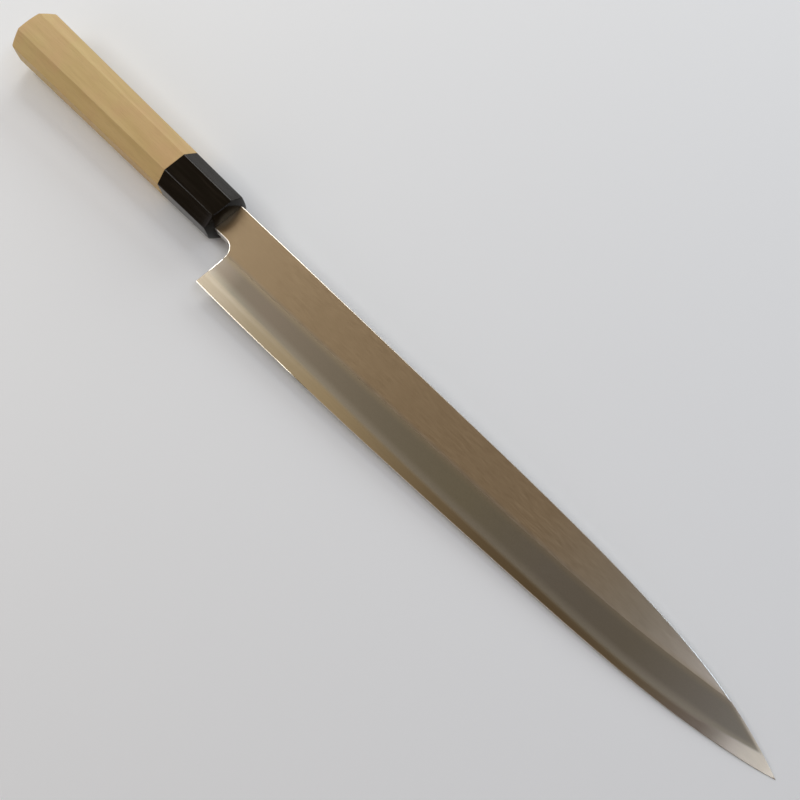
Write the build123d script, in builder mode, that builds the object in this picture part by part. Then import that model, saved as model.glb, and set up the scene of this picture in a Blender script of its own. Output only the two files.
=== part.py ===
from build123d import *
import os
from math import asin, cos, hypot, sin, sqrt

os.makedirs("parts", exist_ok=True)

# Yanagiba slicing knife, lying on its flat back with the ground face up. Millimetres.
# Sizes are measured from the ferrule's front face, on the handle's axis:
# +X runs to the tip, +Y to the spine, +Z out of the ground face.

# Handle, grip and ferrule together: an eight-sided bar that tapers to the front
handle_length = 147.7
butt_height = 25.7
butt_thickness = 20.3
butt_corner_height = 6.55
butt_corner_depth = 5.5
butt_crown_fall = 3.3
butt_edge_round = 1.0
front_height = 21.3
front_thickness = 17.7
front_corner_height = 5.5
front_flat_radius = 5.0
front_crown_fall = 2.1
front_edge_round = 0.5

# Ferrule and the grip's round tenon inside it
ferrule_length = 34.1
tenon_diameter = 13.5
tenon_length = 22.0
tenon_fit = 0.1
tenon_end_gap = 0.3

# Blade in plan
blade_reach = 303.6
tip_drop = 7.0
heel_setback = 11.7
heel_drop = 28.0
heel_lean = 2.85
spine_rise = 8.87
neck_rise = 8.4
neck_drop = 6.85
neck_round = 6.5

# Blade in thickness: the back lies level, the top falls towards the tip
neck_thickness = 4.0
tip_thickness = 2.1
edge_land = 0.15
top_edge_bevel = 0.4
heel_steel_thickness = 1.65
steel_start = 5.5
hollow_wheel_radius = 210.0
hollow_rim = 1.6

# Tang, its mortise and the bed of resin between them
shoulder_inset = 4.0
neck_fit = 0.15
tang_length = 100.0
tang_root_height = 9.5
tang_root_thickness = 3.4
tang_end_height = 5.0
tang_end_thickness = 2.2
bed_gap = 0.6
bed_end_gap = 3.0

# Cuts run past the surface they cut by this much
overrun = 1.0

# The blade's outline by stations from heel to tip: place along the blade, the cutting edge's rise
# from the heel's level to the tip's, the shinogi's rise from the heel's level to the spine's, and
# the spine's height above the tip
blade_shares = (
    (0.00, 0.000, 0.436, 0.975),
    (0.20, 0.043, 0.476, 0.991),
    (0.40, 0.146, 0.526, 0.998),
    (0.60, 0.288, 0.582, 0.986),
    (0.75, 0.423, 0.652, 0.900),
    (0.87, 0.604, 0.757, 0.675),
    (0.95, 0.811, 0.850, 0.322),
)
shinogi_end_share = 0.915
bevel_overhang_share = 0.12
edge_end_slope = 0.34
spine_end_slope = 0.39

# The weld between the two metals: place along the blade, and thickness of the hard steel there
# as a share of its thickness at the heel
weld_shares = (
    (0.00, 1.00),
    (0.20, 0.78),
    (0.45, 0.53),
    (0.65, 0.43),
    (0.85, 0.36),
    (1.00, 0.60),
)

# The hollow of the back: place along the blade, and how much of the width between the rims
# the hollow takes there
hollow_shares = (
    (0.03, 0.35),
    (0.09, 0.90),
    (0.20, 1.00),
    (0.40, 1.00),
    (0.60, 1.00),
    (0.75, 1.00),
    (0.87, 1.00),
    (0.93, 0.90),
)

# The origin lies under the middle of the length and the width, level with the butt's lower face
front_x = (handle_length - blade_reach) / 2
axis_y = (heel_drop - butt_height / 2) / 2
axis_z = butt_thickness / 2
back_level = -neck_thickness / 2
datum = Vector(front_x, axis_y, axis_z)
handle_axis = Axis(datum, (1, 0, 0))


# Plan plane at a height above the handle's axis
def plan(height):
    return Plane((front_x, axis_y, axis_z + height))


# Cross-section ahead of the ferrule's front: local x to the spine, local y up
def section(distance):
    return Plane((front_x + distance, axis_y, axis_z), x_dir=(0, 1, 0), z_dir=(1, 0, 0))


# Side view through the handle's axis: local x to the tip, local y up
side = Plane((front_x, axis_y, axis_z), x_dir=(1, 0, 0), z_dir=(0, -1, 0))


# A size that runs evenly from the ferrule's front to the butt
def taper(front_size, butt_size, depth):
    return front_size + (butt_size - front_size) * depth / handle_length


# Corners of the handle's octagon at a depth behind the front
def octagon(depth):
    half_height = taper(front_height, butt_height, depth) / 2
    half_thickness = taper(front_thickness, butt_thickness, depth) / 2
    corner_height = taper(front_corner_height, butt_corner_height, depth)
    corner_depth = corner_height * butt_corner_depth / butt_corner_height
    side_y = half_thickness - corner_depth
    flat_x = half_height - corner_height
    return (
        (half_height, -side_y),
        (half_height, side_y),
        (flat_x, half_thickness),
        (-flat_x, half_thickness),
        (-half_height, side_y),
        (-half_height, -side_y),
        (-flat_x, -half_thickness),
        (flat_x, -half_thickness),
    )


# Half section of what stands outside an end that is flat in the middle and crowned around it,
# to turn about the handle's axis; the crown falls back at the corners, and runs past them by the
# rounding of the end's rim; facing is 1 or -1 along X
def outside_crown(apex, facing, flat_radius, crown_fall, rim_round, corners):
    corner_radius = max(hypot(*corner) for corner in corners)
    crown_width = corner_radius - flat_radius
    crown_radius = (crown_width**2 + crown_fall**2) / (2 * crown_fall)
    reach = corner_radius + rim_round
    turn = asin((crown_width + rim_round) / crown_radius)
    centre = apex - facing * crown_radius
    half_way = (centre + facing * crown_radius * cos(turn / 2), flat_radius + crown_radius * sin(turn / 2))
    end = (centre + facing * crown_radius * cos(turn), reach)
    outside = apex + facing * overrun
    with BuildSketch(plan(0)) as profile:
        with BuildLine():
            ThreePointArc((apex, flat_radius), half_way, end)
            Polyline(end, (outside, reach), (outside, 0), (apex, 0))
            if flat_radius > 0:
                Line((apex, 0), (apex, flat_radius))
        make_face()
    return profile.sketch


# Cross-section on the tang's line at a depth behind its shoulders, standing off the tang by a gap
def tang_section(depth, gap):
    share = depth / tang_length
    height = tang_root_height + (tang_end_height - tang_root_height) * share
    thickness = tang_root_thickness + (tang_end_thickness - tang_root_thickness) * share
    with BuildSketch(section(-shoulder_inset - depth)) as outline:
        Rectangle(height + 2 * gap, thickness + 2 * gap)
    return outline.sketch


mortise_length = tang_length + bed_end_gap
tang_ends = [tang_section(0, 0), tang_section(tang_length, 0)]
mortise_ends = [tang_section(0, bed_gap), tang_section(mortise_length, bed_gap)]

# Bar that the grip and the ferrule are cut from, square at first, then planed to its eight facets
with BuildPart() as handle_bar:
    with BuildSketch(section(overrun)):
        Rectangle(butt_height + 2 * overrun, butt_thickness + 2 * overrun)
    extrude(amount=-(handle_length + 2 * overrun))
    front_corners = [section(0).from_local_coords((*corner, 0)) for corner in octagon(0)]
    next_corners = front_corners[1:] + front_corners[:1]
    butt = section(-handle_length)
    butt_corners = [butt.from_local_coords((*corner, 0)) for corner in octagon(handle_length)]
    for front_corner, next_corner, butt_corner in zip(front_corners, next_corners, butt_corners):
        across = next_corner - front_corner
        facet = Plane(front_corner, x_dir=across, z_dir=(butt_corner - front_corner).cross(across))
        split(bisect_by=facet, keep=Keep.BOTTOM)

# Grip: the bar behind the ferrule, with a crowned butt, a round tenon and the mortise
with BuildPart() as handle_grip:
    add(handle_bar.part)
    split(bisect_by=section(-ferrule_length), keep=Keep.BOTTOM)
    butt_waste = outside_crown(-handle_length, -1, 0, butt_crown_fall, butt_edge_round, octagon(handle_length))
    revolve(butt_waste, axis=handle_axis, mode=Mode.SUBTRACT)
    butt_face = handle_grip.faces().sort_by(Axis.X)[0]
    fillet(butt_face.edges(), radius=butt_edge_round)
    with BuildSketch(section(-ferrule_length)):
        Circle(tenon_diameter / 2)
    extrude(amount=tenon_length)
    loft(mortise_ends, mode=Mode.SUBTRACT)
handle_grip.part.label = "handle_grip"
export_step(handle_grip.part, "parts/handle_grip.step")


# Ferrule: the bar's front, crowned, with a pocket for the neck, a bore for the tenon and between
# them the slot for the tang
with BuildPart() as ferrule:
    add(handle_bar.part)
    split(bisect_by=section(-ferrule_length), keep=Keep.TOP)
    front_waste = outside_crown(0, 1, front_flat_radius, front_crown_fall, front_edge_round, octagon(0))
    revolve(front_waste, axis=handle_axis, mode=Mode.SUBTRACT)
    front_edges = ferrule.edges().filter_by_position(Axis.X, front_x - ferrule_length / 4, front_x)
    fillet(front_edges.filter_by(GeomType.CIRCLE, reverse=True), radius=front_edge_round)
    with BuildSketch(section(-shoulder_inset)):
        with Locations(((neck_rise - neck_drop) / 2, 0)):
            Rectangle(neck_rise + neck_drop + 2 * neck_fit, neck_thickness + 2 * neck_fit)
    extrude(amount=shoulder_inset + overrun, mode=Mode.SUBTRACT)
    with BuildSketch(section(-ferrule_length)):
        Circle(tenon_diameter / 2 + tenon_fit)
    extrude(amount=tenon_length + tenon_end_gap, mode=Mode.SUBTRACT)
    loft(mortise_ends, mode=Mode.SUBTRACT)
ferrule.part.label = "ferrule"
export_step(ferrule.part, "parts/ferrule.step")


# Place along the blade, from heel to tip
def along(share):
    return heel_setback + share * (blade_reach - heel_setback)


# Height of the blade's top, falling evenly from the shoulders to the tip
top_fall = (neck_thickness - tip_thickness) / (blade_reach + shoulder_inset)


def top_height(distance):
    return back_level + neck_thickness - top_fall * (distance + shoulder_inset)


# Points of the weld in the side view
weld_points = [(along(place), back_level + heel_steel_thickness * share) for place, share in weld_shares]

# Stations in real sizes: distance from the ferrule, then edge, shinogi and spine across the blade;
# past the spine's fall the shinogi is only the line that the bevel would run to
stations = []
for place, edge_share, shinogi_share, spine_share in blade_shares:
    edge_y = -heel_drop + edge_share * (heel_drop - tip_drop)
    shinogi_y = -heel_drop + shinogi_share * (heel_drop + spine_rise)
    spine_y = -tip_drop + spine_share * (tip_drop + spine_rise)
    stations.append((along(place), edge_y, shinogi_y, spine_y))
shinogi_end = -heel_drop + shinogi_end_share * (heel_drop + spine_rise)
stations.append((blade_reach, -tip_drop, shinogi_end, -tip_drop))
edge_points = [(distance, edge_y) for distance, edge_y, shinogi_y, spine_y in stations]
spine_points = [(distance, spine_y) for distance, edge_y, shinogi_y, spine_y in stations]
middle_edge_point = edge_points[len(edge_points) // 2]


# Height across the blade of a line given by points, straight between them
def height_on(points, distance):
    for near, far in zip(points, points[1:]):
        if near[0] <= distance <= far[0]:
            return near[1] + (far[1] - near[1]) * (distance - near[0]) / (far[0] - near[0])


# The station that lies past an end of the blade as far as its neighbour lies inside
def past_station(end, inner):
    return tuple(2 * near - far for near, far in zip(end, inner))


# Foot and head of the bevel, a ruled surface through the edge and the shinogi and a little past both
foot_points = []
head_points = []
before_heel = past_station(stations[0], stations[1])
past_tip = past_station(stations[-1], stations[-2])
for distance, edge_y, shinogi_y, spine_y in (before_heel, *stations, past_tip):
    foot = Vector(distance, edge_y, back_level + edge_land)
    head = Vector(distance, shinogi_y, top_height(distance))
    overhang = (head - foot) * bevel_overhang_share
    foot_points.append(datum + foot - overhang)
    head_points.append(datum + head + overhang)
bevel_face = Face.make_surface_from_curves(Edge.make_spline(foot_points), Edge.make_spline(head_points))


# Section of the back's hollow: an arc of the grinding wheel between the two rims
def hollow_section(place, width_share):
    low = height_on(edge_points, along(place)) + hollow_rim
    high = height_on(spine_points, along(place)) - hollow_rim
    middle = (low + high) / 2
    half_width = (high - low) / 2 * width_share
    depth = hollow_wheel_radius - sqrt(hollow_wheel_radius**2 - half_width**2)
    left = (middle - half_width, back_level)
    right = (middle + half_width, back_level)
    with BuildSketch(section(along(place))) as hollow:
        with BuildLine():
            ThreePointArc(left, (middle, back_level + depth), right)
            Polyline(right, (right[0], back_level - overrun), (left[0], back_level - overrun), left)
        make_face()
    return hollow.sketch


hollow_sections = [hollow_section(*row) for row in hollow_shares]

# Blade blank, both metals together: plan outline, falling top, eased top edge, bevel and hollow back
with BuildPart() as blade_blank:
    with BuildSketch(plan(back_level)) as outline:
        shoulder_top = (-shoulder_inset, neck_rise)
        shoulder_foot = (-shoulder_inset, -neck_drop)
        choil_corner = (heel_setback + heel_lean, -neck_drop)
        with BuildLine():
            neck_line = Line(shoulder_top, spine_points[0])
            Spline(*spine_points, tangents=(neck_line % 1, (1, -spine_end_slope)))
            Spline(*edge_points, tangents=((1, 0), (1, edge_end_slope)))
            Polyline(edge_points[0], choil_corner, shoulder_foot, shoulder_top)
        make_face()
        inner_corner = outline.vertices().sort_by_distance(choil_corner)[0]
        fillet(inner_corner, radius=neck_round)
    extrude(amount=neck_thickness)
    top_plane = Plane(datum + (0, 0, top_height(0)), z_dir=(top_fall, 0, 1))
    split(bisect_by=top_plane, keep=Keep.BOTTOM)
    top_edges = blade_blank.faces().sort_by(Axis.Z)[-1].edges()
    shoulder_edge = top_edges.sort_by(Axis.X)[0]
    over_edge = datum + (*middle_edge_point, top_height(middle_edge_point[0]))
    cutting_edge = top_edges.sort_by_distance(over_edge)[0]
    chamfer([edge for edge in top_edges if edge not in (shoulder_edge, cutting_edge)], length=top_edge_bevel)
    extrude(bevel_face, amount=2 * neck_thickness, dir=(0, 0, 1), mode=Mode.SUBTRACT)
    loft(hollow_sections, mode=Mode.SUBTRACT)

# Side view of everything under the weld, which ends in a scarf at the neck
with BuildSketch(side) as under_weld:
    scarf_foot = (steel_start, back_level)
    far = blade_reach + overrun
    below = back_level - overrun
    with BuildLine():
        Spline(*weld_points)
        Polyline(weld_points[-1], (far, weld_points[-1][1]), (far, below), (steel_start, below), scarf_foot)
        Line(scarf_foot, weld_points[0])
    make_face()
weld_reach = heel_drop + butt_height

# Hard steel: what of the blank lies under the weld
with BuildPart() as edge_steel:
    add(blade_blank.part)
    extrude(under_weld.sketch, amount=weld_reach, both=True, mode=Mode.INTERSECT)
edge_steel.part.label = "edge_steel"
export_step(edge_steel.part, "parts/edge_steel.step")

# Soft iron: the rest of the blank, with the tang behind its shoulders
with BuildPart() as blade_iron:
    add(blade_blank.part)
    extrude(under_weld.sketch, amount=weld_reach, both=True, mode=Mode.SUBTRACT)
    loft(tang_ends)
blade_iron.part.label = "blade_iron"
export_step(blade_iron.part, "parts/blade_iron.step")

# Bed of set resin that fills the mortise round the tang
with BuildPart() as tang_bed:
    loft(mortise_ends)
    loft(tang_ends, mode=Mode.SUBTRACT)
tang_bed.part.label = "tang_bed"
export_step(tang_bed.part, "parts/tang_bed.step")
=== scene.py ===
import math

import bmesh
import bpy
from mathutils import Matrix, Vector
from mathutils.geometry import delaunay_2d_cdt


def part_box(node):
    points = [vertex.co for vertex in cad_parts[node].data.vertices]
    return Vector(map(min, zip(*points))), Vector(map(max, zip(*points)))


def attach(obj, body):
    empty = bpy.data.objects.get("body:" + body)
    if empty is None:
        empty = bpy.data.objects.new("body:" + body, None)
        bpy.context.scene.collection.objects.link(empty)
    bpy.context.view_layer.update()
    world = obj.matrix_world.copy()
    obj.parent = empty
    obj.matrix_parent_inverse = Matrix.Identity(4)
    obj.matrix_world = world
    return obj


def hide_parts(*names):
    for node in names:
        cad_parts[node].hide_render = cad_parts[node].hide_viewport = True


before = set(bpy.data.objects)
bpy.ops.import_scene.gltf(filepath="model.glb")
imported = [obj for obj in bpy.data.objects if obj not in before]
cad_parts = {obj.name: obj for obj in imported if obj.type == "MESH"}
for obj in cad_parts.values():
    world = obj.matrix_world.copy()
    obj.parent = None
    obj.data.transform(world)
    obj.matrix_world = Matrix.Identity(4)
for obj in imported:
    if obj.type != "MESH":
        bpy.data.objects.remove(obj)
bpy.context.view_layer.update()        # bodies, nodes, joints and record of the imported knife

# Every place below is in millimetres from the ferrule's front face, on the handle's axis:
# x runs to the tip, y to the spine, z out of the ground face. The frame says where that point is.
mm = 0.001
ferruleLow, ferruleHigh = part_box("ferrule")
gripLow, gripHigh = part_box("handle_grip")
steelLow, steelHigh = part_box("edge_steel")
origin = Vector((ferruleHigh[0], (gripLow[1] + gripHigh[1]) / 2, (gripLow[2] + gripHigh[2]) / 2))
handleLength = (ferruleHigh[0] - gripLow[0]) / mm
ferruleLength = (ferruleHigh[0] - ferruleLow[0]) / mm
tipX = (steelHigh[0] - origin[0]) / mm
backLevel = (steelLow[2] - origin[2]) / mm


# Point of the scene, in metres, for a place on the knife
def onKnife(x, y, z):
    return origin + Vector((x, y, z)) * mm


# New object in the scene
def addObject(name, data):
    made = bpy.data.objects.new(name, data)
    bpy.context.scene.collection.objects.link(made)
    return made


# Linear colour of an sRGB hex value
def linear(hexColour):
    channels = [int(hexColour[i:i + 2], 16) / 255 for i in (1, 3, 5)]
    return [c / 12.92 if c <= 0.04045 else ((c + 0.055) / 1.055) ** 2.4 for c in channels] + [1.0]


# Adds a node with its settings, or a Math node with its operation. Shader nodes go by their short names.
# Each input is a value or an output to link, by order or by name.
def addNode(tree, kind, settings, *inputs, **named):
    node = tree.nodes.new(kind if "Node" in kind else "ShaderNode" + kind)
    if isinstance(settings, str):
        settings = {"operation": settings}
    for key, value in settings.items():
        setattr(node, key, value)
    slots = [socket for socket in node.inputs if socket.enabled]
    byName = {socket.name.replace(" ", ""): socket for socket in reversed(slots)}
    for socket, value in list(zip(slots, inputs)) + [(byName[key], named[key]) for key in named]:
        if isinstance(value, bpy.types.NodeSocket):
            tree.links.new(value, socket)
        else:
            socket.default_value = value
    return next((socket for socket in node.outputs if socket.enabled), None)


blend = {"data_type": "RGBA"}                        # a Mix node of colours
tint = {"data_type": "RGBA", "blend_type": "MULTIPLY"}
smooth = {"interpolation_type": "SMOOTHSTEP"}        # a Map Range that eases in and out
noiseSpan = (0.3, 0.7)                               # most of a noise texture lies between these


def startMaterial(name):
    material = bpy.data.materials.new(name)
    material.use_nodes = True
    material.node_tree.nodes.clear()
    return material, material.node_tree


# Ends a material with its shader, whose inputs are given by name
def finishMaterial(material, **look):
    shader = addNode(material.node_tree, "BsdfPrincipled", {}, **look)
    addNode(material.node_tree, "OutputMaterial", {}, Surface=shader)
    return material


# Clouds, bands or scratches with the given sizes in mm along x, y and z, fixed to the knife
def grain(tree, sizes, detail, roughness):
    place = addNode(tree, "TexCoord", {}).node.outputs["Object"]
    run = addNode(tree, "Mapping", {}, place, Scale=[1 / size / mm for size in sizes])
    return addNode(tree, "TexNoise", {}, Vector=run, Scale=1.0, Detail=detail, Roughness=roughness)


# Magnolia wood, planed and finely sanded, left bare: pale tan, matt, with a faint straight grain
wood = {
    "pale": "#CDB47B",
    "deep": "#BEA368",
    "bandSizes": (72.0, 4.5, 9.0),           # mm, growth bands
    "blush": "#C7A173",                      # pinkish clouds
    "blushSizes": (14.0, 14.0, 14.0),        # mm
    "blushShare": (0.42, 0.68, 0.0, 0.5),    # noise values, and how much blush each brings
    "warmTint": "#FFF9F6",                   # taken on from the butt to the ferrule
    "warmRun": (-0.226, -0.09),              # m along the frame's x
    "fleck": "#A6895A",
    "fibreSizes": (9.0, 0.3, 0.3),           # mm, drawn coarser than the real 0.05 so that they show
    "fleckShare": (0.5, 0.85, 0.0, 0.55),    # noise values, and how much fleck each brings
    "roughness": (0.47, 0.58),
    "bump": 0.18,
    "bumpDepth": 0.03,                       # mm
}


def magnoliaWood():
    material, tree = startMaterial("magnoliaWoodSanded")
    fibres = grain(tree, wood["fibreSizes"], detail=3.0, roughness=0.6)
    bands = grain(tree, wood["bandSizes"], detail=3.0, roughness=0.55)
    clouds = grain(tree, wood["blushSizes"], detail=2.0, roughness=0.5)
    tone = addNode(tree, "MapRange", {}, bands, *noiseSpan)
    ground = addNode(tree, "Mix", blend, tone, linear(wood["deep"]), linear(wood["pale"]))
    warmth = addNode(tree, "MapRange", {}, clouds, *wood["blushShare"])
    ground = addNode(tree, "Mix", blend, warmth, ground, linear(wood["blush"]))
    place = addNode(tree, "TexCoord", {}).node.outputs["Object"]
    toFront = addNode(tree, "MapRange", {}, addNode(tree, "SeparateXYZ", {}, place), *wood["warmRun"])
    ground = addNode(tree, "Mix", tint, toFront, ground, linear(wood["warmTint"]))
    pores = addNode(tree, "MapRange", {}, fibres, *wood["fleckShare"])
    colour = addNode(tree, "Mix", blend, pores, ground, linear(wood["fleck"]))
    rough = addNode(tree, "MapRange", {}, fibres, *noiseSpan, *wood["roughness"])
    bump = addNode(tree, "Bump", {}, Strength=wood["bump"], Distance=wood["bumpDepth"] * mm, Height=fibres)
    return finishMaterial(material, BaseColor=colour, Roughness=rough, Normal=bump)


# Black buffalo horn, ground flush with the wood and buffed: near black with a soft clear gloss
horn = {
    "black": "#130F09",
    "streak": "#201A12",
    "streakSizes": (22.0, 1.4, 1.4),         # mm
    "streakSpan": (0.5, 0.8),                # noise values that show as streaks
    "roughness": (0.12, 0.19),
    "ior": 1.34,                             # keratin has 1.54; the worn buff mirrors less
    "bump": 0.05,
    "bumpDepth": 0.02,                       # mm
}


def buffaloHorn():
    material, tree = startMaterial("buffaloHornBuffed")
    streaks = grain(tree, horn["streakSizes"], detail=3.0, roughness=0.55)
    lift = addNode(tree, "MapRange", {}, streaks, *horn["streakSpan"])
    colour = addNode(tree, "Mix", blend, lift, linear(horn["black"]), linear(horn["streak"]))
    rough = addNode(tree, "MapRange", {}, streaks, *noiseSpan, *horn["roughness"])
    bump = addNode(tree, "Bump", {}, Strength=horn["bump"], Distance=horn["bumpDepth"] * mm, Height=streaks)
    return finishMaterial(material, BaseColor=colour, Roughness=rough, IOR=horn["ior"], Normal=bump)


# The blade's metals, each surface ground or polished in its own way. Run is the size in mm of the
# scratches along x, y and z, drawn coarser than the grit that left them so that they show.
finishes = {
    # soft iron rubbed along the flat with fine paper: a warm satin
    "softIronSatin": {"roughness": 0.36, "uneven": 0.03, "run": (5.0, 0.3, 0.3), "bump": 0.05},
    # soft iron clouded with stone powder: grey and matt
    "softIronHazed": {"roughness": 0.46, "uneven": 0.02, "run": (0.6, 0.6, 0.6), "bump": 0.04},
    # eased edges of the iron, buffed: bright lines
    "softIronPolished": {"colour": "#E2DDD4", "roughness": 0.28, "run": (4.0, 0.3, 0.3), "bump": 0.02},
    # hard steel drawn over fine stones along the edge: clearer than the iron
    "hardSteelWhetted": {"roughness": 0.28, "run": (9.0, 0.6, 0.6), "bump": 0.01},
    # hard steel at the spine and on the back's flat rims, buffed or laid flat on the stone
    "hardSteelPolished": {"colour": "#CFC6B8", "roughness": 0.28, "run": (4.0, 0.4, 0.4), "bump": 0.01},
    # the last narrow bevel along the cutting edge, honed bright
    "hardSteelKeen": {"colour": "#C9C1B2", "roughness": 0.14, "run": (9.0, 0.6, 0.6), "bump": 0.01},
    # hollow of the back, left by the grinding wheel: fine marks across the blade
    "hardSteelHollow": {"colour": "#BDB5A7", "roughness": 0.32, "uneven": 0.03, "run": (0.4, 6.0, 0.4),
                        "bump": 0.05},
}
scratchTones = (0.97, 1.03)      # how much darker and paler the scratches are
scratchDepth = 0.02              # mm

# Tones over the flat and the bevel. The runs are in mm above the weld line, or below the edge of the flat.
haze = {
    # the flat: warm at the heel, neutral and clearer towards the tip; painted reflection of the warm room
    # and of the cooler light over the tip
    "flatTones": ((185, "#BBA687"), (237, "#AFA38F"), (272, "#C8BCAC")),
    # pale band beside the hard steel, by place along x: palest at the heel, where painted reflection of the
    # heel's light is added to its tone
    "bandTones": ((14, "#B0A99C"), (18, "#A8A192"), (28, "#928D80"), (45, "#8E877A"), (90, "#978F80"),
                  (286, "#98907F")),
    # grey core of the bevel: its haze tone, paler at the heel and varying along x by painted reflection
    "coreTones": ((14, "#9A9184"), (18, "#93897C"), (28, "#7F7669"), (45, "#82786B"), (120, "#847C6B"),
                  (160, "#88806B"), (200, "#857D6F"), (240, "#7F7665"), (270, "#827A6D"), (286, "#867F72")),
    "headTone": "#928670",       # lighter where the stone powder ran out towards the flat
    "strayTone": "#B2A48F",      # on the flat, where some of the powder strayed over its edge
    "strayRun": (-2.2, 0.2),
    "gleamTone": "#C6C0B2",      # thin pale streak in the clear steel beside the weld
    "clearRun": (-1.2, 0.9),     # from clear hard steel to haze
    "bandRun": (0.4, 4.1),       # from the pale band to the grey core
    "headRun": (-0.6, 2.8),      # from the edge of the flat to the grey core
    "gleamRun": (1.2, 0.1),      # mm to each side of the streak's middle line
    "gleamPlace": 1.5,           # mm below the weld
    "gleamFade": (15, 90, 0.36, 0.0),        # places along x, and how strong the streak is there
    # hard steel along the edge, by place along x: pale at the heel and the tip, golden between them; painted
    # reflection of the lights over the heel and the tip and of the warm room between them
    "edgeTones": ((28, "#ACA291"), (45, "#A79C87"), (90, "#AF9F82"), (160, "#AF9F82"), (200, "#A39478"),
                  (245, "#A39478"), (266, "#988B7A"), (275, "#978B7D"), (280, "#A59B8C"), (286, "#C8BDAD"),
                  (291, "#CCC1AE"), (297, "#C1B5A1")),
    "tipRun": (266, 288),        # places along x between which the clear finish reaches higher
    "clearTip": 0.5,             # mm by which the clear finish reaches higher at the tip
    "crispTip": 0.9,             # how much quicker its tones change there
    "rimRun": (1.3, 0.0),        # mm below the tip's spine over which the bevel is rubbed clear
    "rimFade": (267, 277, 0.0, -0.8),        # places along x, and how much of the haze is lost there
}
placeNames = ("aboveWeld", "belowFlat", "alongBlade")    # attributes of the blade's meshes, in mm


# Colour that changes along the blade through the given places and tones
def tonesAlong(tree, along, tones):
    start, end = tones[0][0], tones[-1][0]
    colour = addNode(tree, "ValToRGB", {}, addNode(tree, "MapRange", {}, along, start, end))
    stops = colour.node.color_ramp.elements
    stops[0].color = linear(tones[0][1])
    stops[1].color = linear(tones[-1][1])
    for place, tone in tones[1:-1]:
        stops.new((place - start) / (end - start)).color = linear(tone)
    return colour


# Colour along the flat, with painted reflection in its tones along x, and the powder that strayed over its
# edge
def flatColour(tree):
    below, along = (addNode(tree, "Attribute", {"attribute_name": name}).node.outputs["Fac"]
                    for name in placeNames[1:])
    stray = addNode(tree, "MapRange", smooth, below, *haze["strayRun"])
    return addNode(tree, "Mix", blend, stray, tonesAlong(tree, along, haze["flatTones"]),
                   linear(haze["strayTone"]))


# Colour and roughness over the bevel: the hard steel's clear finish, the pale band, the grey core, with
# painted reflection in their tones along x
def bevelTones(tree):
    above, below, along = (addNode(tree, "Attribute", {"attribute_name": name}).node.outputs["Fac"]
                           for name in placeNames)
    fromHead = addNode(tree, "MapRange", smooth, below, *haze["headRun"])
    # grey core and pale band: real haze tones, paler at the heel by painted reflection
    core = addNode(tree, "Mix", blend, fromHead, linear(haze["headTone"]),
                   tonesAlong(tree, along, haze["coreTones"]))
    fromBand = addNode(tree, "MapRange", smooth, above, *haze["bandRun"])
    cloud = addNode(tree, "Mix", blend, fromBand, tonesAlong(tree, along, haze["bandTones"]), core)
    # clear below the weld, and in a strip along the tip's spine
    rim = addNode(tree, "MapRange", smooth, below, *haze["rimRun"])
    atTip = addNode(tree, "MapRange", {}, along, *haze["rimFade"])
    unrubbed = addNode(tree, "Math", "MULTIPLY_ADD", rim, atTip, 1.0)
    fromClear = addNode(tree, "MapRange", smooth, above, *haze["clearRun"])
    fromClear = addNode(tree, "Math", "MULTIPLY", fromClear, unrubbed)
    aside = addNode(tree, "Math", "ABSOLUTE", addNode(tree, "Math", "ADD", above, haze["gleamPlace"]))
    streak = addNode(tree, "MapRange", smooth, aside, *haze["gleamRun"])
    fade = addNode(tree, "MapRange", {}, along, *haze["gleamFade"])
    gleam = addNode(tree, "Math", "MULTIPLY", streak, fade)
    # clear hard steel along the edge: its tones along x are a painted reflection of the heel and tip lights
    # and the warm room
    clear = addNode(tree, "Mix", blend, gleam, tonesAlong(tree, along, haze["edgeTones"]),
                    linear(haze["gleamTone"]))
    colour = addNode(tree, "Mix", blend, fromClear, clear, cloud)
    ends = [finishes[name]["roughness"] for name in ("hardSteelWhetted", "softIronHazed")]
    return colour, addNode(tree, "Mix", {}, fromClear, *ends)


def bladeMetal(name):
    look = finishes[name]
    material, tree = startMaterial(name)
    scratches = grain(tree, look["run"], detail=2.0, roughness=0.6)
    if name in ("softIronHazed", "hardSteelWhetted"):
        ground, rough = bevelTones(tree)
    else:
        ground = flatColour(tree) if name == "softIronSatin" else linear(look["colour"])
        rough = look["roughness"]
    if "uneven" in look:
        unevenness = addNode(tree, "MapRange", {}, scratches, *noiseSpan, -look["uneven"], look["uneven"])
        rough = addNode(tree, "Math", "ADD", rough, unevenness)
    tone = addNode(tree, "MapRange", {}, scratches, *noiseSpan, *scratchTones)
    colour = addNode(tree, "Mix", tint, 1.0, ground, tone)
    bump = addNode(tree, "Bump", {}, Strength=look["bump"], Distance=scratchDepth * mm, Height=scratches)
    return finishMaterial(material, BaseColor=colour, Metallic=1.0, Roughness=rough, Normal=bump)


# Resin that beds the tang: poured, cured dark amber, seen only when the handle is split
resin = {
    "deep": "#3A2413",
    "clear": "#5B3A1E",
    "cloudSizes": (6.0, 6.0, 6.0),           # mm
    "roughness": 0.35,
    "ior": 1.55,
}


def beddingResin():
    material, tree = startMaterial("beddingResinCast")
    clouds = grain(tree, resin["cloudSizes"], detail=2.0, roughness=0.5)
    colour = addNode(tree, "Mix", blend, clouds, linear(resin["deep"]), linear(resin["clear"]))
    return finishMaterial(material, BaseColor=colour, Roughness=resin["roughness"], IOR=resin["ior"])


print("materials")
materials = {name: bladeMetal(name) for name in finishes}
materials["wood"] = magnoliaWood()
materials["horn"] = buffaloHorn()
materials["resin"] = beddingResin()

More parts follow.
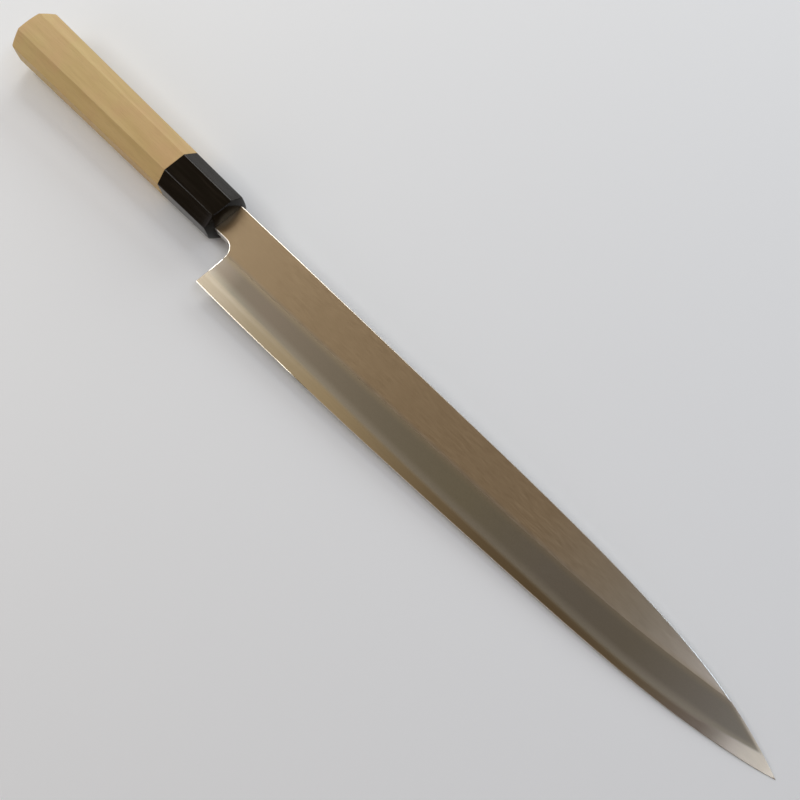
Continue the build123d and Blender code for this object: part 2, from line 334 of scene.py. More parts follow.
# The handle is one bar, planed to eight facets that taper to the front; grip and ferrule are cut from it.
# These sizes are inputs of its Geometry Nodes tree.
bar = {
    "Butt Height": 25.7,
    "Butt Thickness": 20.3,
    "Butt Corner": 6.55,
    "Front Height": 21.3,
    "Front Thickness": 17.7,
    "Front Corner": 5.5,
}
cornerSlant = 5.5 / 6.55     # a corner facet's depth for each mm of its height
barColumns = 8 * 20          # twenty to a facet
crowding = 0.85              # how far the columns gather at the arrises
ringCrowding = 0.95          # and the rings at the two ends
gripCut = {
    "facetEnd": 7.0,         # mm from the butt to the first ring of the facets
    "crownFlat": 0.0,        # radius within which the end isn't crowned
    "crownFall": 2.9,
    "crownRings": 14,
    "rimRound": 2.7,
    "arrisRound": 0.14,
    "rings": 14,
}
neck = {"rise": 8.4, "drop": 6.85, "thickness": 4.0}
ferruleCut = {
    "facetEnd": 5.5,         # mm from the front to the last ring of the facets
    "crownFlat": 5.0,
    "crownFall": 2.1,
    "crownRings": 16,
    "rimRound": 0.5,
    "arrisRound": 0.34,
    "rings": 8,
    "neckFit": 0.15,
    "pocketDepth": 4.0,
    "slotLip": 0.02,         # the slot is narrower than the pocket by this, so that the floor has some width
}
seamEase = 0.08              # eased edge of the grip and of the ferrule where they meet
tenon = {"diameter": 13.5, "length": 22.0, "fit": 0.1, "endGap": 0.3}
tang = {"length": 100.0, "rootHeight": 9.5, "rootThickness": 3.4, "endHeight": 5.0, "endThickness": 2.2,
        "bedGap": 0.6, "bedEndGap": 3.0}
# Points nearer than the gaps, in mm, are one, and an edge that turns more than the crease stays crisp
sewing = {"skinGap": 0.0005, "outlineGap": 0.0005, "handleGap": 0.002, "bladeGap": 0.001, "wallGap": 0.002,
          "sliver": 0.003, "handleCrease": math.radians(40), "bladeCrease": 0.12}


# Geometry Nodes: a grid rolled round the handle's axis, its columns set along the eight arrises
def handleBarTree():
    tree = bpy.data.node_groups.new("handleBar", "GeometryNodeTree")
    kinds = {name: "Float" for name in (*bar, "Length", "Far Depth", "Near Depth", "Arris Round")}
    kinds.update({"Rings": "Int", "Finish": "Material"})
    for name, kind in kinds.items():
        tree.interface.new_socket(name, in_out="INPUT", socket_type="NodeSocket" + kind)
    tree.interface.new_socket("Geometry", in_out="OUTPUT", socket_type="NodeSocketGeometry")
    given = tree.nodes.new("NodeGroupInput").outputs
    grid = addNode(tree, "GeometryNodeMeshGrid", {}, 1.0, 1.0, given["Rings"], barColumns + 1)
    spot = addNode(tree, "SeparateXYZ", {}, addNode(tree, "GeometryNodeInputPosition", {})).node
    even = addNode(tree, "Math", "ADD", spot.outputs["X"], 0.5)
    around = addNode(tree, "Math", "ADD", spot.outputs["Y"], 0.5)
    # rings crowded towards both ends
    ringWave = addNode(tree, "Math", "SINE", addNode(tree, "Math", "MULTIPLY", even, 2 * math.pi))
    along = addNode(tree, "Math", "MULTIPLY_ADD", ringWave, -ringCrowding / 2 / math.pi, even)
    depth = addNode(tree, "Mix", {}, along, given["Far Depth"], given["Near Depth"])
    share = addNode(tree, "Math", "DIVIDE", depth, given["Length"])
    height, thickness, corner = [
        addNode(tree, "Mix", {"clamp_factor": False}, share, given["Front " + size], given["Butt " + size])
        for size in ("Height", "Thickness", "Corner")]
    a = addNode(tree, "Math", "MULTIPLY", height, 0.5)
    b = addNode(tree, "Math", "MULTIPLY", thickness, 0.5)
    cornerDepth = addNode(tree, "Math", "MULTIPLY", corner, cornerSlant)
    sideHalf = addNode(tree, "Math", "SUBTRACT", b, cornerDepth)
    flatHalf = addNode(tree, "Math", "SUBTRACT", a, corner)
    # angles of the two arrises in a quarter of the section
    lowTurn = addNode(tree, "Math", "ARCTAN2", sideHalf, a)
    highTurn = addNode(tree, "Math", "ARCTAN2", b, flatHalf)
    # half facets counted round the bar, crowded towards the arrises at the odd numbers
    count = addNode(tree, "Math", "MULTIPLY", around, 16.0)
    wave = addNode(tree, "Math", "SINE", addNode(tree, "Math", "MULTIPLY", count, math.pi))
    crowded = addNode(tree, "Math", "MULTIPLY_ADD", wave, crowding / math.pi, count)
    inQuarter = addNode(tree, "Math", "PINGPONG", crowded, 4.0)
    first = addNode(tree, "MapRange", {}, inQuarter, 0.0, 1.0, 0.0, lowTurn)
    span = addNode(tree, "Math", "SUBTRACT", highTurn, lowTurn)
    second = addNode(tree, "MapRange", {}, inQuarter, 1.0, 3.0, 0.0, span)
    rest = addNode(tree, "Math", "SUBTRACT", math.pi / 2, highTurn)
    third = addNode(tree, "MapRange", {}, inQuarter, 3.0, 4.0, 0.0, rest)
    turn = addNode(tree, "Math", "ADD", first, addNode(tree, "Math", "ADD", second, third))
    cosine = addNode(tree, "Math", "COSINE", turn)
    sine = addNode(tree, "Math", "SINE", turn)
    # one over the radius to each family of facets; the largest is the facet in the way
    toSide = addNode(tree, "Math", "DIVIDE", cosine, a)
    toTop = addNode(tree, "Math", "DIVIDE", sine, b)
    slantRun = addNode(tree, "Math", "MULTIPLY", cosine, cornerSlant)
    slantFace = addNode(tree, "Math", "ADD", slantRun, sine)
    slantReach = addNode(tree, "Math", "MULTIPLY_ADD", a, cornerSlant, sideHalf)
    toCorner = addNode(tree, "Math", "DIVIDE", slantFace, slantReach)
    area = addNode(tree, "Math", "MULTIPLY", a, b)
    ease = addNode(tree, "Math", "DIVIDE", given["Arris Round"], area)
    nearest = addNode(tree, "Math", "SMOOTH_MAX", toSide, toCorner, ease)
    nearest = addNode(tree, "Math", "SMOOTH_MAX", nearest, toTop, ease)
    radius = addNode(tree, "Math", "DIVIDE", 1.0, nearest)
    # back from the quarter to the whole turn
    whole = addNode(tree, "Math", "MULTIPLY", crowded, math.pi / 8)
    ySign = addNode(tree, "Math", "SIGN", addNode(tree, "Math", "COSINE", whole))
    zSign = addNode(tree, "Math", "SIGN", addNode(tree, "Math", "SINE", whole))
    y = addNode(tree, "Math", "MULTIPLY", ySign, addNode(tree, "Math", "MULTIPLY", radius, cosine))
    z = addNode(tree, "Math", "MULTIPLY", zSign, addNode(tree, "Math", "MULTIPLY", radius, sine))
    x = addNode(tree, "Math", "MULTIPLY", depth, -1.0)
    rolled = addNode(tree, "GeometryNodeSetPosition", {}, grid,
                     Position=addNode(tree, "CombineXYZ", {}, x, y, z))
    sewn = addNode(tree, "GeometryNodeMergeByDistance", {}, rolled, Distance=sewing["skinGap"])
    real = addNode(tree, "GeometryNodeRealizeInstances", {}, sewn)
    dressed = addNode(tree, "GeometryNodeSetMaterial", {}, real, Material=given["Finish"])
    addNode(tree, "NodeGroupOutput", {}, dressed)
    return tree


barTree = handleBarTree()


# Skin of the bar between two depths behind the front: its bmesh, in mm, and its rings from far to near
def barSkin(farDepth, nearDepth, cut, finish):
    holder = addObject("barHolder", bpy.data.meshes.new("barHolder"))
    modifier = holder.modifiers.new("handleBar", "NODES")
    modifier.node_group = barTree
    sizes = {**bar, "Length": handleLength, "Far Depth": farDepth, "Near Depth": nearDepth,
             "Arris Round": cut["arrisRound"], "Rings": cut["rings"], "Finish": finish}
    for socket in barTree.interface.items_tree:
        if socket.in_out == "INPUT":
            modifier[socket.identifier] = sizes[socket.name]
    mesh = bpy.data.meshes.new_from_object(holder.evaluated_get(bpy.context.evaluated_depsgraph_get()))
    bpy.data.objects.remove(holder)
    bm = bmesh.new()
    bm.from_mesh(mesh)
    bpy.data.meshes.remove(mesh)
    bm.verts.ensure_lookup_table()
    return bm, [bm.verts[i * barColumns:(i + 1) * barColumns] for i in range(cut["rings"])]


def joinRings(bm, first, second):
    for i in range(len(first)):
        following = (i + 1) % len(first)
        bm.faces.new((first[i], first[following], second[following], second[i]))


# Adds a ring of points to a mesh and joins it to the ring before it
def addRing(bm, before, points):
    ring = [bm.verts.new(point) for point in points]
    joinRings(bm, before, ring)
    return ring


# Closes a ring with a fan of faces round one point
def closeRing(bm, ring, point):
    pole = bm.verts.new(point)
    for i in range(len(ring)):
        bm.faces.new((ring[i], ring[(i + 1) % len(ring)], pole))


# Points of a ring drawn in towards the axis by the eased edge at the seam
def easedRing(ring, x):
    points = []
    for vertex in ring:
        share = 1 - seamEase / math.hypot(vertex.co.y, vertex.co.z)
        points.append(Vector((x, vertex.co.y * share, vertex.co.z * share)))
    return points


# Points of a rectangle about (middleY, 0), one on each ray from its middle; its corners are hit exactly
def rectangleRing(x, middleY, halfHeight, halfThickness, angles):
    points = []
    for angle in angles:
        run = max(abs(math.cos(angle)) / halfHeight, abs(math.sin(angle)) / halfThickness)
        points.append(Vector((x, middleY + math.cos(angle) / run, math.sin(angle) / run)))
    for ySign in (1, -1):
        for zSign in (1, -1):
            corner = Vector((x, middleY + ySign * halfHeight, zSign * halfThickness))
            nearest = min(range(len(points)), key=lambda i: (points[i] - corner).length)
            points[nearest] = corner
    return points


def circleRing(x, radius, angles):
    return [Vector((x, radius * math.cos(angle), radius * math.sin(angle))) for angle in angles]


# Half height and half thickness of the tang at a share of its length
def tangHalves(share):
    return [(tang["root" + size] + (tang["end" + size] - tang["root" + size]) * share) / 2
            for size in ("Height", "Thickness")]


# Ring of the slot round the tang at a place along x
def slotRing(x, angles, widest=math.inf):
    height, thickness = tangHalves((-ferruleCut["pocketDepth"] - x) / tang["length"])
    return rectangleRing(x, 0, height + tang["bedGap"], min(thickness + tang["bedGap"], widest), angles)


# Rounds the rim where a crowned end meets the facets. Gives back the last ring, which lies on the crown,
# and the crown itself, as a function of y and z. Facing is 1 or -1 along x.
def addRoundedRim(bm, ring, inner, apex, facing, cut, cornerRadius, steps=7, rounds=6):
    flatRadius, rimRound = cut["crownFlat"], cut["rimRound"]
    width = cornerRadius - flatRadius
    crownRadius = (width ** 2 + cut["crownFall"] ** 2) / (2 * cut["crownFall"])
    middleX = apex - facing * crownRadius
    arcs = []
    for outer, back in zip(ring, inner):
        slope = (outer.co - back.co) / (outer.co.x - back.co.x)
        x = outer.co.x
        for _ in range(rounds):
            side = outer.co + slope * (x - outer.co.x)
            across = max(math.hypot(side.y, side.z) - rimRound - flatRadius, 0)
            x = middleX + facing * math.sqrt((crownRadius - rimRound) ** 2 - across ** 2)
        side = outer.co + slope * (x - outer.co.x)
        radius = math.hypot(side.y, side.z)
        outward = Vector((0, side.y / radius, side.z / radius))
        ballMiddle = side - outward * rimRound
        endTurn = math.atan2(facing * (x - middleX), across)
        arcs.append([ballMiddle + (outward * math.cos(endTurn * k / steps)
                     + Vector((facing, 0, 0)) * math.sin(endTurn * k / steps)) * rimRound
                     for k in range(steps + 1)])
    for k in range(steps + 1):
        ring = addRing(bm, ring, [arc[k] for arc in arcs])

    def crown(y, z):
        beyond = max(math.hypot(y, z) - flatRadius, 0)
        return Vector((apex - facing * (crownRadius - math.sqrt(crownRadius ** 2 - beyond ** 2)), y, z))
    return ring, crown


# Largest distance of the octagon's corners from the axis, at the front or the butt
def cornerReach(end):
    height, thickness, corner = (bar[end + size] for size in (" Height", " Thickness", " Corner"))
    return max(math.hypot(height / 2, thickness / 2 - corner * cornerSlant),
               math.hypot(height / 2 - corner, thickness / 2))


# Turns a bmesh in millimetres to a mesh in the frame, in metres
def finishMesh(bm, name, slots):
    openEdges = sum(1 for edge in bm.edges if len(edge.link_faces) != 2)
    print("mesh", name, "volume", round(bm.calc_volume(signed=True)), "mm3, open edges", openEdges)
    bm.transform(Matrix.Translation(origin) @ Matrix.Scale(mm, 4))
    mesh = bpy.data.meshes.new(name)
    bm.to_mesh(mesh)
    bm.free()
    for slot in slots:
        mesh.materials.append(materials[slot])
    return mesh


# Sews a part of the handle, turns its faces outwards and shades them smooth between the creases
def handleMesh(bm, name, slot):
    bmesh.ops.remove_doubles(bm, verts=bm.verts, dist=sewing["handleGap"])
    bmesh.ops.recalc_face_normals(bm, faces=bm.faces)
    for edge in bm.edges:
        if len(edge.link_faces) == 2 and edge.calc_face_angle() > sewing["handleCrease"]:
            edge.smooth = False
    for face in bm.faces:
        face.smooth = True
    return finishMesh(bm, name, [slot])


# Grip: crowned butt, facets, flush front, round tenon and the mortise for the tang
def makeGrip():
    seam, butt = -ferruleLength, -handleLength
    farDepth = handleLength - gripCut["facetEnd"]
    bm, rows = barSkin(farDepth, ferruleLength + seamEase, gripCut, materials["wood"])
    angles = [math.atan2(vertex.co.z, vertex.co.y) for vertex in rows[0]]
    ring, crown = addRoundedRim(bm, rows[0], rows[1], butt, -1, gripCut, cornerReach("Butt"))
    rim = [vertex.co.copy() for vertex in ring]
    for k in range(1, gripCut["crownRings"]):
        share = 1 - k / gripCut["crownRings"]
        ring = addRing(bm, ring, [crown(p.y * share, p.z * share) for p in rim])
    closeRing(bm, ring, (butt, 0, 0))
    ring = addRing(bm, rows[-1], easedRing(rows[-1], seam))
    tenonEnd = seam + tenon["length"]
    for x in (seam, tenonEnd):
        ring = addRing(bm, ring, circleRing(x, tenon["diameter"] / 2, angles))
    mortiseEnd = -ferruleCut["pocketDepth"] - tang["length"] - tang["bedEndGap"]
    for x in (tenonEnd, mortiseEnd):
        ring = addRing(bm, ring, slotRing(x, angles))
    closeRing(bm, ring, (mortiseEnd, 0, 0))
    return handleMesh(bm, "gripWood", "wood")


# Ferrule: crowned front with the neck's pocket, facets, and the bore for the tenon
def makeFerrule():
    seam, floor = -ferruleLength, -ferruleCut["pocketDepth"]
    bm, rows = barSkin(ferruleLength - seamEase, ferruleCut["facetEnd"], ferruleCut, materials["horn"])
    angles = [math.atan2(vertex.co.z, vertex.co.y) for vertex in rows[0]]
    ring, crown = addRoundedRim(bm, rows[-1], rows[-2], 0.0, 1, ferruleCut, cornerReach("Front"))
    rim = [vertex.co.copy() for vertex in ring]
    middleY = (neck["rise"] - neck["drop"]) / 2
    halfHeight = (neck["rise"] + neck["drop"]) / 2 + ferruleCut["neckFit"]
    halfThickness = neck["thickness"] / 2 + ferruleCut["neckFit"]
    mouthAngles = [math.atan2(p.z, p.y - middleY) for p in rim]
    mouth = rectangleRing(0, middleY, halfHeight, halfThickness, mouthAngles)
    for k in range(1, ferruleCut["crownRings"] + 1):
        share = k / ferruleCut["crownRings"]
        ring = addRing(bm, ring, [crown(p.y + (q.y - p.y) * share, p.z + (q.z - p.z) * share)
                                  for p, q in zip(rim, mouth)])
    ring = addRing(bm, ring, [Vector((floor, p.y, p.z)) for p in mouth])
    boreEnd = seam + tenon["length"] + tenon["endGap"]
    for x in (floor, boreEnd):
        ring = addRing(bm, ring, slotRing(x, angles, halfThickness - ferruleCut["slotLip"]))
    for x in (boreEnd, seam):
        ring = addRing(bm, ring, circleRing(x, tenon["diameter"] / 2 + tenon["fit"], angles))
    joinRings(bm, addRing(bm, ring, easedRing(rows[0], seam)), rows[0])
    bmesh.ops.dissolve_degenerate(bm, dist=sewing["sliver"], edges=bm.edges)
    return handleMesh(bm, "ferruleHorn", "horn")


# Stands a finished mesh in the scene as a piece of the knife
def addPiece(name, mesh, node):
    piece = addObject(name, mesh)
    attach(piece, "root")
    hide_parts(node)
    print("piece", name, len(mesh.polygons), "faces")


print("handle")
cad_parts["tang_bed"].material_slots[0].material = materials["resin"]
addPiece("gripWood", makeGrip(), "handle_grip")
addPiece("ferruleHorn", makeFerrule(), "ferrule")

# Blade: its outline by stations from heel to tip, each the distance from the ferrule, then the places
# across the blade of the cutting edge, the shinogi and the spine
blade = {
    "stations": (
        (11.7, -28.0, -11.93, 8.47),
        (70.1, -27.1, -10.45, 8.73),
        (128.5, -24.93, -8.61, 8.84),
        (186.8, -21.95, -6.54, 8.65),
        (230.6, -19.12, -3.96, 7.28),
        (265.7, -15.32, -0.09, 3.71),
        (289.0, -10.97, 3.34, -1.89),
        (303.6, -7.0, 5.74, -7.0),
    ),
    "edgeEndSlope": 0.34,
    "spineEndSlope": -0.39,
    "choilCorner": (14.55, -6.85),
    "neckRound": 6.5,
    "tipThickness": 2.1,
    "land": 0.15,
    "topBevel": 0.4,             # eased edge along the top
    "topBevelLeast": 0.03,       # narrower than this it has run out
    "browShare": 0.5,            # of the eased edge's width, where it turns steep
    "browDrop": 0.11,            # of its depth
    "browLeast": 0.12,           # width of the eased edge under which it has no brow
    "edgeBreak": (0.3, 0.08),    # width of the last bevel along the cutting edge, at the heel and beyond
    "edgeBreakRun": (62.0, 88.0),            # places along x between which it narrows
    "edgeBreakEnd": 0.9,         # mm behind the tip where it ends
    "edgeLand": 0.1,             # thickness left at the very edge
    "heelEase": 0.3,             # width of the eased edge down the heel, below the flat
    "heelEaseFall": 0.05,
    "heelEaseFade": 4.0,         # mm above the weld over which it fades
    "weldStart": 5.5,
    "weld": ((11.7, 1.65), (70.1, 1.287), (143.1, 0.875), (201.4, 0.71), (259.8, 0.594), (303.6, 0.99)),
    "hollowRadius": 210.0,
    "hollowRim": 1.6,
    "hollow": ((18.5, 0.0), (22.0, 0.42), (29.0, 0.74), (38.0, 0.9), (56.0, 1.0), (266.0, 1.0), (277.0, 0.9),
               (284.0, 0.6), (287.0, 0.0)),
    "hollowSlopes": (0.2, -0.3),
}
# How finely the blade is divided, in mm: along its lines, and across between them
net = {
    "along": 1.6,
    "alongHeel": 0.6,
    "alongHollow": 1.2,
    "choilSteps": 24,
    "tipPoints": (0.6, 1.2),     # behind the tip, on the spine
    "ironAcross": 4.0,
    "ironMargins": (8, 12),      # from the heel, and from where the weld meets the spine
    "steelAcross": 2.5,
    "steelMargins": (3, 8),      # from the heel, and from the tip
    "hollowAcross": 2.2,
    "hair": 0.01,                # how far a line across the blade stays inside the outline
}
# Upward part of a face's normal under which it lies on a wall, an eased edge or the last bevel
levels = {"wall": 0.85, "eased": 0.99, "keen": 0.95}


# Smooth line through points with a given slope at each end, as a function of x
def smoothLine(points, startSlope, endSlope, rounds=60):
    last = len(points) - 1
    slopes = [startSlope] + [(b[1] - a[1]) / (b[0] - a[0]) for a, b in zip(points, points[2:])] + [endSlope]
    for _ in range(rounds):
        for i in range(1, last):
            (x0, y0), (x1, y1), (x2, y2) = points[i - 1:i + 2]
            near, far = x1 - x0, x2 - x1
            pull = 3 * ((y1 - y0) / near ** 2 + (y2 - y1) / far ** 2)
            slopes[i] = (pull - slopes[i - 1] / near - slopes[i + 1] / far) / (2 / near + 2 / far)

    def height(x):
        x = min(max(x, points[0][0]), points[-1][0])
        i = max(k for k in range(last) if points[k][0] <= x)
        (x0, y0), (x1, y1) = points[i], points[i + 1]
        run = x1 - x0
        t = (x - x0) / run
        return (y0 * (1 + 2 * t) * (1 - t) ** 2 + slopes[i] * run * t * (1 - t) ** 2
                + y1 * t * t * (3 - 2 * t) - slopes[i + 1] * run * t * t * (1 - t))
    return height


# Slopes at the ends of a line that bends there as it does beside them
def endSlopes(points):
    runs = [(b[1] - a[1]) / (b[0] - a[0]) for a, b in zip(points, points[1:])]
    return runs[0] - (runs[1] - runs[0]) / 2, runs[-1] + (runs[-1] - runs[-2]) / 2


heelX = blade["stations"][0][0]
shoulderX = -ferruleCut["pocketDepth"]
edgePoints, shinogiPoints, spinePoints = ([(row[0], row[k]) for row in blade["stations"]] for k in (1, 2, 3))
neckSlope = (spinePoints[0][1] - neck["rise"]) / (heelX - shoulderX)
edgeLine = smoothLine(edgePoints, 0.0, blade["edgeEndSlope"])
shinogiLine = smoothLine(shinogiPoints, *endSlopes(shinogiPoints))
bladeSpine = smoothLine(spinePoints, neckSlope, blade["spineEndSlope"])
weldRise = smoothLine(blade["weld"], *endSlopes(blade["weld"]))


def spineLine(x):
    return bladeSpine(x) if x > heelX else neck["rise"] + neckSlope * (x - shoulderX)


# Height of the flat that runs from the shoulders to the tip
def flatTop(x):
    fall = (neck["thickness"] - blade["tipThickness"]) / (tipX - shoulderX)
    return backLevel + neck["thickness"] - fall * (x - shoulderX)


# Height of the bevel, straight from the cutting edge to the shinogi
def bevelTop(x, y):
    foot = backLevel + blade["land"]
    edge, shinogi = edgeLine(x), shinogiLine(x)
    return foot + (flatTop(x) - foot) * (y - edge) / (shinogi - edge)


def groundTop(x, y):
    return min(flatTop(x), bevelTop(x, y)) if x >= heelX else flatTop(x)


# Height of the weld between the two metals; it runs out on the back of the neck
def weldTop(x):
    if x >= heelX:
        return backLevel + weldRise(x)
    return backLevel + blade["weld"][0][1] * max(x - blade["weldStart"], 0) / (heelX - blade["weldStart"])


# Place across the blade where the weld comes out on the bevel
def weldLine(x):
    foot = backLevel + blade["land"]
    edge, shinogi = edgeLine(x), shinogiLine(x)
    return edge + (weldTop(x) - foot) / (flatTop(x) - foot) * (shinogi - edge)


# Root of a function that changes sign between two places
def crossing(function, low, high, halvings=50):
    for _ in range(halvings):
        middle = (low + high) / 2
        if (function(low) > 0) == (function(middle) > 0):
            low = middle
        else:
            high = middle
    return (low + high) / 2


# The choil: a round between the neck's underside and the straight line down to the heel
corner = Vector(blade["choilCorner"])
heel = Vector((heelX, edgePoints[0][1]))
toNeck = Vector((-1, 0))
toHeel = (heel - corner).normalized()
halfTurn = toNeck.angle(toHeel) / 2
arcMiddle = corner + (toNeck + toHeel).normalized() * blade["neckRound"] / math.sin(halfTurn)
heelTangent = corner + toHeel * (blade["neckRound"] / math.tan(halfTurn))
neckTangent = corner + toNeck * (blade["neckRound"] / math.tan(halfTurn))


def heelLineX(y):
    return heel.x + (heelTangent.x - heel.x) * (y - heel.y) / (heelTangent.y - heel.y)


def choilArc():
    start = heelTangent - arcMiddle
    turn = start.angle_signed(neckTangent - arcMiddle)
    points = []
    for k in range(1, net["choilSteps"]):
        angle = -turn * k / net["choilSteps"]
        points.append(arcMiddle + Vector((start.x * math.cos(angle) - start.y * math.sin(angle),
                                          start.x * math.sin(angle) + start.y * math.cos(angle))))
    return points


# Where the weld and the shinogi meet the outline; each is looked for between the last two places
topBevel = blade["topBevel"]
weldEndX = crossing(lambda x: weldLine(x) - spineLine(x), 280, tipX - 1)
shinogiEndX = crossing(lambda x: shinogiLine(x) + topBevel - spineLine(x), 260, tipX - 5)
weldHeelY = crossing(lambda y: weldTop(heelLineX(y)) - bevelTop(heelLineX(y), y), heel.y + 1, heelTangent.y)
shinogiStartX = crossing(
    lambda x: (Vector((x, shinogiLine(x))) - arcMiddle).length - blade["neckRound"] - topBevel,
    heelX, corner.x + 1)


# Inward direction at a point of an anticlockwise outline
def inward(outline, i):
    direction = (outline[(i + 1) % len(outline)] - outline[i - 1]).normalized()
    return Vector((-direction.y, direction.x))


# Lines inside the outline along the eased top edge: where it ends, and the brow where it turns from nearly
# flat to steep, which catches the light. They close in where the bevel runs lower.
def easedLines(outline, tops, start, end, rounds=5):
    line = []
    brow = []
    for i in range(start, end + 1):
        inner = inward(outline, i)
        width = topBevel
        for _ in range(rounds):
            spot = outline[i] + inner * width
            width = groundTop(spot.x, spot.y) - flatTop(spot.x) + topBevel
            width = min(max(width, 0.0), topBevel)
        line.append(outline[i] + inner * width if width > blade["topBevelLeast"] else None)
        if width > blade["browLeast"]:
            spot = outline[i] + inner * width * blade["browShare"]
            top = groundTop(spot.x, spot.y)
            brow.append(Vector((spot.x, spot.y, top - (top - tops[i]) * blade["browDrop"])))
    seen = [i for i, spot in enumerate(line) if spot is not None]
    first, last = seen[0], seen[-1]
    kept = line[first:last + 1]
    if first > 0:
        kept.insert(0, outline[start + first - 1])
    if last < len(line) - 1:
        kept.append(outline[start + last + 1])
    return kept, brow


# Triangles over a plan outline, kept along the given lines; a point's height is its own or the surface's.
# Gives back the outline's vertices by their order.
def addSurface(bm, outline, lines, inner, height, edgeHeights, facing):
    coords = list(outline)
    edges = []
    given = {}
    for line in lines:
        start = len(coords)
        given.update({start + i: point.z for i, point in enumerate(line) if len(point) == 3})
        coords += [point.to_2d() if len(point) == 3 else point for point in line]
        edges += [(start + i, start + i + 1) for i in range(len(line) - 1)]
    coords += inner
    found = delaunay_2d_cdt(coords, edges, [list(range(len(outline)))], 1, sewing["outlineGap"])
    points, triangles, sources = found[0], found[2], found[3]
    boundary = {}
    made = []
    for point, origins in zip(points, sources):
        onEdge = [k for k in origins if k < len(outline)]
        onBrow = [k for k in origins if k in given]
        z = height(point.x, point.y)
        if onEdge:
            z = edgeHeights[onEdge[0]]
        elif onBrow:
            z = given[onBrow[0]]
        made.append(bm.verts.new((point.x, point.y, z)))
        for k in onEdge:
            boundary[k] = made[-1]
    for triangle in triangles:
        bm.faces.new([made[k] for k in (triangle if facing > 0 else reversed(triangle))])
    return boundary


# Walls between the upper and the lower surface, around the outline
def addWalls(bm, upper, lower, places):
    for i in places:
        j = (i + 1) % len(upper)
        ends = []
        for vertex in (lower[i], lower[j], upper[j], upper[i]):
            if all((vertex.co - other.co).length > sewing["wallGap"] for other in ends):
                ends.append(vertex)
        if len(ends) > 2:
            bm.faces.new(ends)


# Points between two lines, in columns of constant x
def between(xs, lowLine, highLine, across):
    points = []
    for x in xs:
        low, high = lowLine(x), highLine(x)
        count = max(1, round((high - low) / across))
        points += [Vector((x, low + (high - low) * k / count)) for k in range(1, count)]
    return points


def alongX(line, xs):
    return [Vector((x, line(x))) for x in xs]


def chainX(start, end, pitch=net["along"]):
    count = max(2, round(abs(end - start) / pitch) + 1)
    return [start + (end - start) * i / (count - 1) for i in range(count)]


# Line across the neck or the heel, a hair inside the outline
def acrossNeck(x):
    return [Vector((x, net["hair"] - neck["drop"])), Vector((x, spineLine(x) - net["hair"]))]


# The weld's line on the bevel, from the heel's side to the spine
def weldRun():
    xs = chainX(heelLineX(weldHeelY), weldEndX)
    return ([Vector((xs[0], weldHeelY))] + alongX(weldLine, xs[1:-1])
            + [Vector((weldEndX, spineLine(weldEndX)))])


# Outline of the neck's foot, the choil and the heel, from a place on the neck down to the weld
def heelSidePart(startX):
    foot = [Vector((x, -neck["drop"])) for x in chainX(startX, neckTangent.x)]
    upper = [Vector((heelLineX(y), y)) for y in chainX(heelTangent.y, weldHeelY, net["alongHeel"])]
    return foot + choilArc()[::-1] + upper


# What the finishes read at a point of the blade, in the order of placeNames. Towards the tip the clear
# finish reaches higher and its tones change quicker.
def placesAt(x, y):
    start, end = haze["tipRun"]
    share = min(max((x - start) / (end - start), 0), 1)
    share = share * share * (3 - 2 * share)
    above = (y - weldLine(max(x, heelX)) - haze["clearTip"] * share) * (1 + haze["crispTip"] * share)
    return above, min(shinogiLine(max(x, heelX)), spineLine(x)) - y, x


# Turns a blade half from millimetres to a finished mesh, with crisp lines where two finishes meet
def bladeMesh(bm, name, slots, finishAt):
    bmesh.ops.remove_doubles(bm, verts=bm.verts, dist=sewing["bladeGap"])
    bm.normal_update()
    for face in bm.faces:
        centre = face.calc_center_median()
        face.material_index = slots.index(finishAt(centre.x, centre.y, face.normal.z))
        face.smooth = True
    for edge in bm.edges:
        near = edge.link_faces
        sameFinish = len(near) == 2 and near[0].material_index == near[1].material_index
        if not sameFinish or edge.calc_face_angle() > sewing["bladeCrease"]:
            edge.smooth = False
    places = [placesAt(vertex.co.x, vertex.co.y) for vertex in bm.verts]
    mesh = finishMesh(bm, name, slots)
    for key, values in zip(placeNames, zip(*places)):
        mesh.attributes.new(key, "FLOAT", "POINT").data.foreach_set("value", values)
    return mesh


# Corners of the tang's section at a share of its length
def tangCorners(share):
    y, z = tangHalves(share)
    return [(y, z), (-y, z), (-y, -z), (y, -z)]


